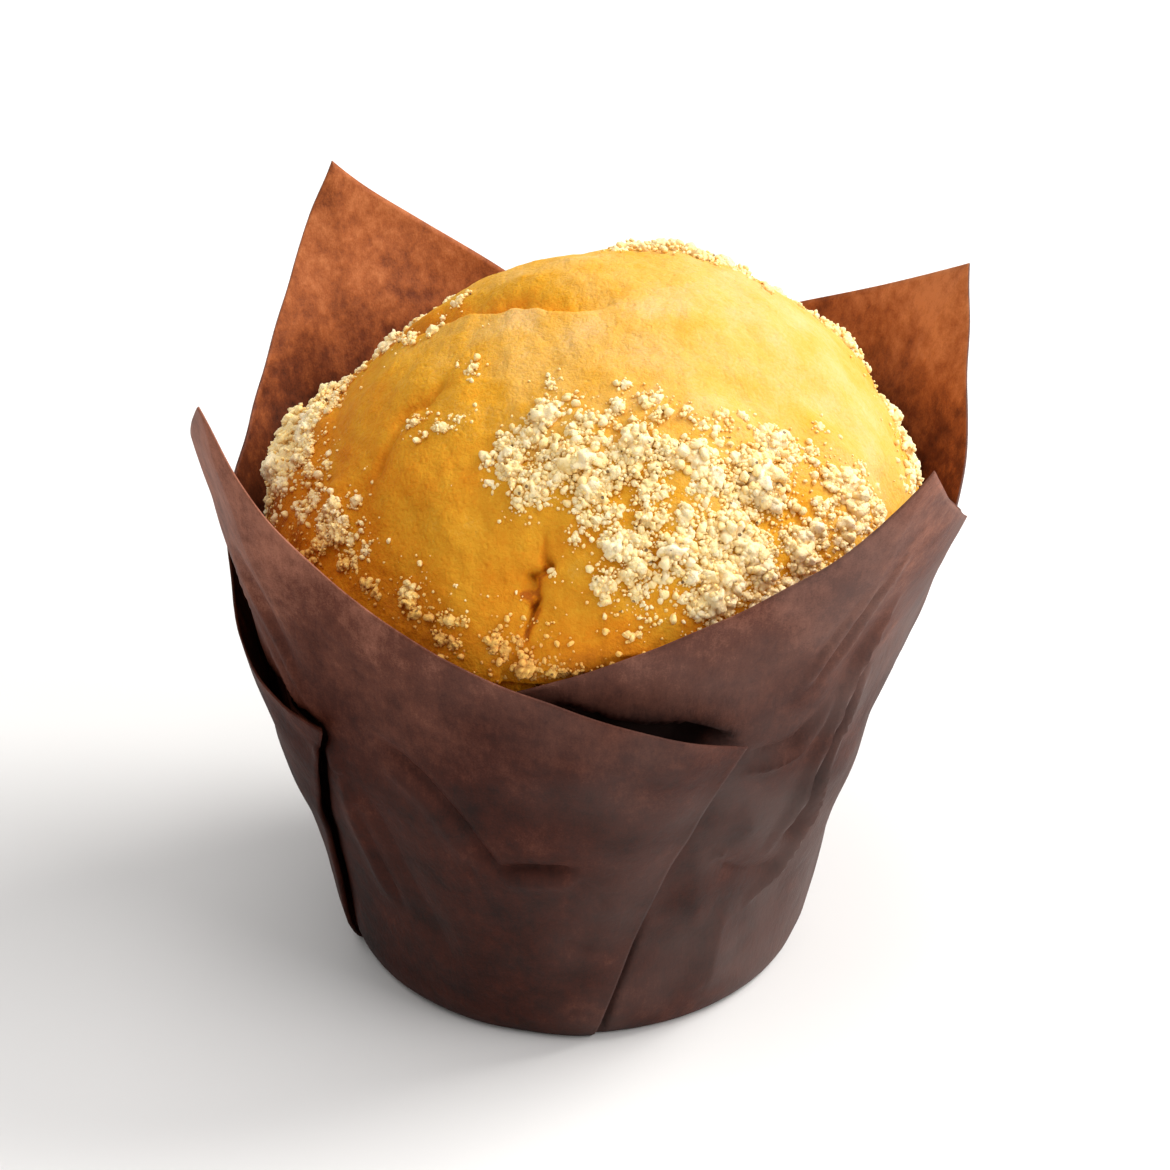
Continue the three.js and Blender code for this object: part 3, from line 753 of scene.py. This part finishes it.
def crumble_piece(name, point, size, deeper, subdivisions, beads, bump):
    """Joins one grain at each point into one mesh. deeper darkens the tone of them all."""
    template, triangles = ball(subdivisions)
    shapes = [grain_shape(template, beads, bump) for _ in range(SHAPES)]
    out = np.hypot(point[:, 0], point[:, 1])
    point[:, :2] *= (np.minimum(out, room_at(point) - AIR - size / 2) / out)[:, None]
    up = point - MOUND_HEART
    up /= np.linalg.norm(up, axis=1, keepdims=True)
    grains = np.empty((len(point), len(template), 3))
    under = np.empty((len(point), len(template)))
    for k in range(len(point)):
        turned = (shapes[k % SHAPES] * rng.uniform(0.75, 1.25, 3)) @ any_turn().T
        grains[k] = point[k] + turned * size[k] / 2
        # How far each point faces down, for painted shade on the grain's underside.
        under[k] = 0.5 - 0.5 * turned @ up[k]
    first = np.arange(len(point))[:, None, None] * len(template)
    joined = (triangles[None] + first).reshape(-1, 3)
    piece = new_object(name, grains.reshape(-1, 3) * MM, joined)
    piece.data.shade_smooth()
    low, left = 1 - smooth(point[:, 2], 54, 60), 1 - smooth(point[:, 0], 2, 10)
    soaked = SOAKED * low * left * (point[:, 1] < -10)
    own_tone = deeper + 0.3 * rng.uniform(0, 1, len(point)) + soaked
    # Painted shade: the undersides get a deeper tone.
    tone_and_shade = own_tone[:, None] + 0.7 * np.clip(under, 0, 1) ** 1.5
    store(piece, "tone_and_shade", tone_and_shade.ravel())
    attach(piece, "root")
    print(name, len(point), "grains,", len(joined), "triangles")
    return piece


# %% Grains on the shells of the clumps
def shell(per_area, low, high, share):
    """Middles and sizes of grains on the upper shells. A size is a share of the clump's radius."""
    counts = np.floor(per_area * clump_radius ** 2 + rng.uniform(0, 1, len(clump_radius))).astype(int)
    owner = np.repeat(np.arange(len(counts)), counts)
    radius = clump_radius[owner]
    way = rng.normal(size=(len(owner), 3))
    way /= np.linalg.norm(way, axis=1, keepdims=True)
    up = clump_up[owner]
    below = np.minimum((way * up).sum(1), 0)
    way -= 1.8 * below[:, None] * up
    size = np.clip(rng.uniform(*share, len(owner)) * radius, low, high)
    height = (way * up).sum(1)
    way -= 0.3 * height[:, None] * up
    return clump_middle[owner] + way * np.maximum(radius - 0.4 * size, 0.2)[:, None], size


LUMP_FROM, CLUSTER_FROM = 1.6, 0.9
big = clump_radius > LUMP_FROM
middling = ~big & (clump_radius > CLUSTER_FROM)
print(int(big.sum()), "clumps with a lump and", int(middling.sum()), "with a cluster as their core")

# %% Cores and shells
lumps = crumble_piece("crumble_lumps", clump_middle[big], 1.6 * clump_radius[big],
                      deeper=0, subdivisions=4, beads=34, bump=0.3)
clusters = crumble_piece("crumble_clusters", clump_middle[middling], 1.5 * clump_radius[middling],
                         deeper=0.05, subdivisions=3, beads=20, bump=0.3)
nuggets = crumble_piece("crumble_nuggets", *shell(per_area=0.45, low=1.0, high=2.2, share=(0.6, 0.95)),
                        deeper=0, subdivisions=3, beads=12, bump=0.28)
grains = crumble_piece("crumble_grains", *shell(per_area=1.9, low=0.6, high=1.25, share=(0.35, 0.65)),
                       deeper=0.05, subdivisions=2, beads=5, bump=0.25)
bits = crumble_piece("crumble_bits", *shell(per_area=5.0, low=0.35, high=0.65, share=(0.25, 0.4)),
                     deeper=0.1, subdivisions=1, beads=3, bump=0.2)


# %% Loose grains and dust
def strewn(count, stray, sizes):
    """Grains that fell off the larger clumps and lie singly on the skin round them."""
    chance = np.clip(clump_radius - 0.5, 0, 1.2)
    owner = rng.choice(len(clump_radius), count, p=chance / chance.sum())
    size = sizes[0] + (sizes[1] - sizes[0]) * rng.uniform(0, 1, count) ** 1.6
    off = rng.normal(size=(count, 2)) * (0.55 * clump_radius[owner] + stray)[:, None]
    az, phi = on_mound(clump_middle[owner, 0] + off[:, 0], clump_middle[owner, 1] + off[:, 1])
    return on_skin(az, phi, -0.15 * size), size


loose = crumble_piece("crumble_loose", *strewn(count=1300, stray=0.25, sizes=(0.55, 1.3)),
                      deeper=0.1, subdivisions=2, beads=5, bump=0.25)
dust = crumble_piece("crumble_dust", *strewn(count=6500, stray=0.3, sizes=(0.22, 0.6)),
                     deeper=0.25, subdivisions=1, beads=3, bump=0.2)

# %% [markdown]
# ## Finishes
# The materials are worked out as expressions. `Wire` stands for the output of a shader node: adding or
# multiplying wires adds Math nodes, and every other node comes from its one method `add`, which takes
# the node's type, its settings and what its sockets get.

# %% Shader expressions
class Wire:
    """The output of a node. Arithmetic on it adds Math nodes, and add() adds any other node."""

    def __init__(self, tree, socket=None):
        self.tree, self.socket = tree, socket

    def add(self, kind, settings=None, inputs=None, output=0):
        node = self.tree.nodes.new(kind)
        for name, value in (settings or {}).items():
            if name == "stops":
                elements = node.color_ramp.elements
                for k, (position, colour) in enumerate(value):
                    stop = elements[k] if k < 2 else elements.new(position)
                    stop.position, stop.color = position, (*colour, 1)
            else:
                setattr(node, name, value)
        for name, value in (inputs or {}).items():
            if isinstance(value, Wire):
                self.tree.links.new(value.socket, node.inputs[name])
            else:
                node.inputs[name].default_value = value
        return Wire(self.tree, node.outputs[output] if node.outputs else None)

    def maths(self, operation, *values):
        return self.add("ShaderNodeMath", {"operation": operation}, dict(enumerate(values)))

    def __add__(self, other):
        return self.maths("ADD", self, other)

    def __radd__(self, other):
        return self.maths("ADD", other, self)

    def __sub__(self, other):
        return self.maths("SUBTRACT", self, other)

    def __rsub__(self, other):
        return self.maths("SUBTRACT", other, self)

    def __mul__(self, other):
        return self.maths("MULTIPLY", self, other)

    def __rmul__(self, other):
        return self.maths("MULTIPLY", other, self)


def new_finish(name):
    """An empty material, and a wire to add its nodes with."""
    material = bpy.data.materials.new(name)
    material.use_nodes = True
    material.node_tree.nodes.clear()
    return material, Wire(material.node_tree)


def place_mm(wire):
    """The position on the object in millimetres."""
    spot = wire.add("ShaderNodeTexCoord", output=3)
    return wire.add("ShaderNodeVectorMath", {"operation": "SCALE"}, {0: spot, "Scale": 1000.0})


def attribute(wire, name):
    """A number that was stored on the mesh."""
    return wire.add("ShaderNodeAttribute", {"attribute_name": name}, output=2)


def cloud(wire, spot, per_mm, detail, roughness):
    """Noise between 0 and 1, with per_mm blobs for each millimetre."""
    inputs = {"Vector": spot, "Scale": per_mm, "Detail": detail, "Roughness": roughness}
    return wire.add("ShaderNodeTexNoise", None, inputs)


def ramp(wire, factor, stops):
    """A colour for each factor, from stops of a position and a colour."""
    return wire.add("ShaderNodeValToRGB", {"stops": stops}, {"Fac": factor})


def mix(wire, factor, first, second):
    """Blends two colours: all first at 0, all second at 1."""
    inputs = {0: factor, 6: first, 7: second}
    return wire.add("ShaderNodeMix", {"data_type": "RGBA"}, inputs, output=2)


def finish(wire, colour, roughness, height, depth_mm, constants):
    """The closing Principled shader, with a bump of the given depth."""
    dents = {"Strength": 1.0, "Distance": depth_mm * MM, "Height": height}
    bump = wire.add("ShaderNodeBump", None, dents)
    inputs = {"Base Color": colour, "Roughness": roughness, "Normal": bump, **constants}
    shader = wire.add("ShaderNodeBsdfPrincipled", None, inputs)
    wire.add("ShaderNodeOutputMaterial", None, {"Surface": shader})
    print("finish of", len(wire.tree.nodes), "nodes")


# %% [markdown]
# ### Cake
# The skin runs from pale butter yellow over gold to an orange brown, with fine pores and a grain of
# fractions of a millimetre. A little subsurface light keeps it soft, as cake is, and not like clay.

# %% Golden cake
golden_cake, wire = new_finish("golden_cake")
spot = place_mm(wire)
# The stored browning, which carries painted light that makes the top right paler.
browned_and_painted_light = attribute(wire, "browning_and_painted_light")
fine = cloud(wire, spot, 2.6, 3.0, 0.6)
pores = wire.add("ShaderNodeTexVoronoi", None, {"Vector": spot, "Scale": 0.9, "Randomness": 1.0})
patchy = cloud(wire, spot, 0.35, 3.0, 0.6)
CRUST = [(0.0, (0.75, 0.48, 0.205)), (0.28, (0.72, 0.395, 0.078)), (0.52, (0.71, 0.33, 0.016)),
         (0.76, (0.66, 0.225, 0.005)), (1.0, (0.41, 0.105, 0.003))]
cake_colour = ramp(wire, browned_and_painted_light + 0.38 * (patchy - 0.5) + 0.34 * (fine - 0.5), CRUST)
pits = pores.maths("SMOOTH_MIN", pores * 3.2, 1.0, 0.3)
finish(wire, cake_colour, 0.62 + 0.2 * fine, fine + 0.5 * pits + 0.8 * patchy, 0.17,
       {"Subsurface Weight": 0.25, "Subsurface Radius": (1.0, 0.55, 0.2), "Subsurface Scale": 0.0016,
        "Specular IOR Level": 0.15})
cake.data.materials.append(golden_cake)

# %% [markdown]
# ### Crumble
# Each grain has a tone of its own, from nearly white sugar to the tan of baked flour. Its underside is
# painted a deeper, warmer tone as shade, which stands in for the warm light that butter lets into the
# hollows between grains, and a little subsurface light adds to it. Specks of spice are scattered over it
# as small dark dots.

# %% Pale crumble
pale_crumble, wire = new_finish("pale_crumble")
spot = place_mm(wire)
grain_tone_and_shade = attribute(wire, "tone_and_shade")
sandy = cloud(wire, spot, 3.0, 3.0, 0.65)
CREAM = [(0.0, (1.0, 0.86, 0.60)), (0.3, (0.99, 0.75, 0.34)), (0.6, (0.96, 0.57, 0.14)),
         (1.0, (0.72, 0.33, 0.07))]
crumble_colour = ramp(wire, 0.7 * grain_tone_and_shade + 0.45 * (sandy - 0.4), CREAM)
specks = wire.add("ShaderNodeTexVoronoi", None, {"Vector": spot, "Scale": 0.5, "Randomness": 1.0})
is_speck = specks.maths("LESS_THAN", specks, 0.1)
crumble_colour = mix(wire, is_speck * 0.8, crumble_colour, (0.12, 0.045, 0.02, 1))
finish(wire, crumble_colour, 0.72, sandy, 0.2,
       {"Subsurface Weight": 0.08, "Subsurface Radius": (1.0, 0.6, 0.3), "Subsurface Scale": 0.0008,
        "Specular IOR Level": 0.25})
for piece in (lumps, clusters, nuggets, grains, bits, loose, dust):
    piece.data.materials.append(pale_crumble)

# %% [markdown]
# ### Paper
# Greaseproof paper has no weave. It is a felt of fibres that shows as clouds and short streaks, and
# brown dye has taken unevenly: some clouds are redder, some greyer. Where the paper touches the cake it
# is dark, and painted shade makes it darkest in the hollows beside the flaps. The free petals are painted
# lighter, as a glow of the light that shines through them. The side that faces the window gets a painted
# greyer, milky sheen, and the inside, which gets its own finish, is painted with a mottled orange brown
# glow. A translucent shader could do this, but an export keeps only plain colour, so height, `facing` and
# `sunk` drive the painted light in the colour. Both have a fine bump of fibres.

# %% Brown paper, outside and inside
# Grey of the paper's clouds, which also carries a painted sheen on the side facing the window.
GREY_AND_SHEEN = (0.148, 0.103, 0.092, 1)


def paper_finish(name, stops, grey_and_sheen, mottling, free_from, free_to, painted_glow, lit, specular):
    """The grey share sets how much greyish cloud with painted window sheen is mixed in. Free petals are
    painted lighter between two heights, as a glow of light shining through.
    """
    material, wire = new_finish(name)
    spot = place_mm(wire)
    height = wire.add("ShaderNodeSeparateXYZ", None, {"Vector": spot}, output=2)
    free = wire.add("ShaderNodeMapRange", {"clamp": True, "interpolation_type": "SMOOTHSTEP"},
                    {"Value": height, "From Min": free_from, "From Max": free_to})
    facing, sunk = attribute(wire, "facing"), attribute(wire, "sunk")
    stretch = {0: spot, 1: (1.0, 1.0, 0.35)}
    streaked = wire.add("ShaderNodeVectorMath", {"operation": "MULTIPLY"}, stretch)
    fibres = cloud(wire, streaked, 1.5, 4.0, 0.7)
    clouds = cloud(wire, spot, 0.12, 3.0, 0.6)
    flecks = cloud(wire, spot, 0.5, 3.0, 0.6)
    grain = cloud(wire, spot, 5.0, 2.0, 0.6)
    dye_and_painted_light = 0.24 + 0.8 * (clouds - 0.5) + 0.4 * (fibres - 0.5)
    dye_and_painted_light = dye_and_painted_light + mottling * (flecks - 0.5) + 0.35 * (grain - 0.5)
    # Painted light: free petals lighter as the glow of light through them, and lighter or darker on the
    # side facing the window. Painted shade darkens the hollows beside the flaps.
    dye_and_painted_light = dye_and_painted_light + free * (painted_glow + lit * facing) - 0.12 * sunk
    grey_clouds_and_sheen = wire.add("ShaderNodeMapRange", {"clamp": True},
                     {"Value": cloud(wire, spot, 0.075, 2.0, 0.5), "From Min": 0.38, "From Max": 0.68})
    # Painted sheen: the grey clouds grow stronger on the side that faces the window.
    grey_clouds_and_sheen = (0.3 + 0.6 * grey_clouds_and_sheen) * grey_and_sheen * (0.46 + 0.44 * facing)
    colour = mix(wire, grey_clouds_and_sheen, ramp(wire, dye_and_painted_light, stops), GREY_AND_SHEEN)
    finish(wire, colour, 0.5 + 0.2 * fibres, fibres + 2.0 * flecks, 0.06, {"Specular IOR Level": specular})
    return material


DARK_BROWN = [(0.05, (0.013, 0.002, 0.0008)), (0.35, (0.048, 0.0085, 0.0035)),
              (0.65, (0.122, 0.035, 0.019)), (1.0, (0.33, 0.127, 0.078))]
# The inside's brown with a painted orange glow of the light that comes through the paper.
ORANGE_BROWN_GLOW = [(0.0, (0.022, 0.0055, 0.0028)), (0.35, (0.15, 0.034, 0.0095)),
                (0.65, (0.33, 0.091, 0.024)), (1.0, (0.54, 0.19, 0.066))]
outside = paper_finish("paper_outside", DARK_BROWN, grey_and_sheen=0.9, mottling=0.4, free_from=30.0, free_to=70.0,
                       painted_glow=0.6, lit=-0.08, specular=0.1)
inside = paper_finish("paper_inside", ORANGE_BROWN_GLOW, grey_and_sheen=0.0, mottling=0.8, free_from=44.0, free_to=68.0,
                      painted_glow=0.46, lit=0.12, specular=0.2)
tulip_wrap.data.materials.append(outside)
tulip_wrap.data.materials.append(inside)
print("finishes:", [m.name for m in bpy.data.materials])
